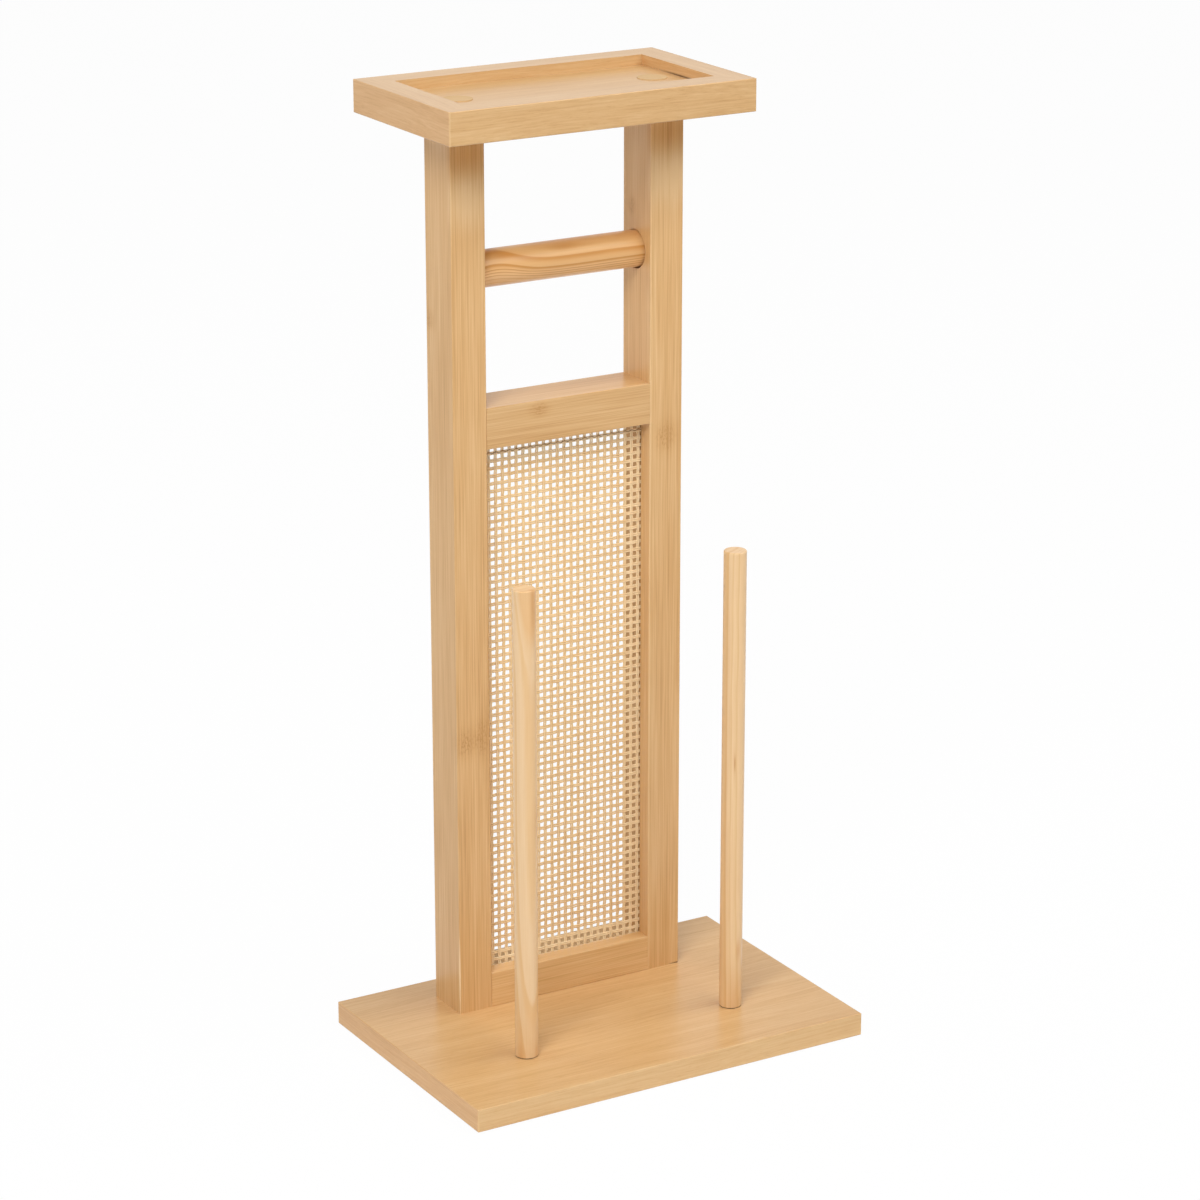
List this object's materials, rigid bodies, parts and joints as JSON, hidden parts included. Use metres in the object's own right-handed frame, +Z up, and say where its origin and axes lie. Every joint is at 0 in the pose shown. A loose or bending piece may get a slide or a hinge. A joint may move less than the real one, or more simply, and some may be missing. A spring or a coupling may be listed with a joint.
{
  "type": "toilet paper stand",
  "caption": "Free-standing wooden toilet paper stand: base board, posts with a cane panel, a sprung roll bar, a rimmed top tray and upright rods for spare rolls.",
  "frame": {"origin": "on the floor, in the middle of the stand's footprint seen from above, from the base's front edge to the tray's back edge", "axes": "+X to the right, the front with the spare roll rods faces -Y, +Z up"},
  "size_m": [0.3, 0.2214, 0.652],
  "materials": {
    "pad": "thin soft pad",
    "board": "satin lacquer on light wood",
    "frame_wood": "satin lacquer on laminated bamboo",
    "tray_wood": "satin lacquer on light wood",
    "pin_wood": "plain beech",
    "cane": "woven split cane",
    "bar_wood": "lacquered pine",
    "rod_wood": "lacquered pine",
    "cup_plastic": "moulded",
    "spring_steel": "bright spring wire",
    "screw_steel": "zinc plated",
    "cover_film": "adhesive film in a wood tone"
  },
  "bodies": {
    "stand": {"foot_pads": "pad", "base_board": "board", "post_screws": "screw_steel", "rod_screws": "screw_steel", "left_post": "frame_wood", "right_post": "frame_wood", "lower_rail": "frame_wood", "upper_rail": "frame_wood", "lower_rail_pins": "pin_wood", "upper_rail_pins": "pin_wood", "cane_panel": "cane", "bar_spring": "spring_steel", "left_spare_rod": "rod_wood", "right_spare_rod": "rod_wood", "tray_floor": "board", "tray_front_rim": "tray_wood", "tray_back_rim": "tray_wood", "tray_left_rim": "tray_wood", "tray_right_rim": "tray_wood", "tray_screws": "screw_steel", "screw_covers": "cover_film"},
    "plunger": {"spring_cup": "cup_plastic"},
    "bar": {"roll_bar": "bar_wood"}
  },
  "joints": [
    {"name": "bar_push", "type": "slide", "parent": "stand", "child": "plunger", "axis": [-1, 0, 0], "range_m": [0, 0.0053], "stiffness_N_per_m": 600, "springref_m": -0.006, "deforming": ["bar_spring"]},
    {"name": "bar_spin", "type": "hinge", "parent": "plunger", "child": "bar", "pos_m": [0, 0.04854, 0.5315], "axis": [1, 0, 0], "continuous": true}
  ]
}
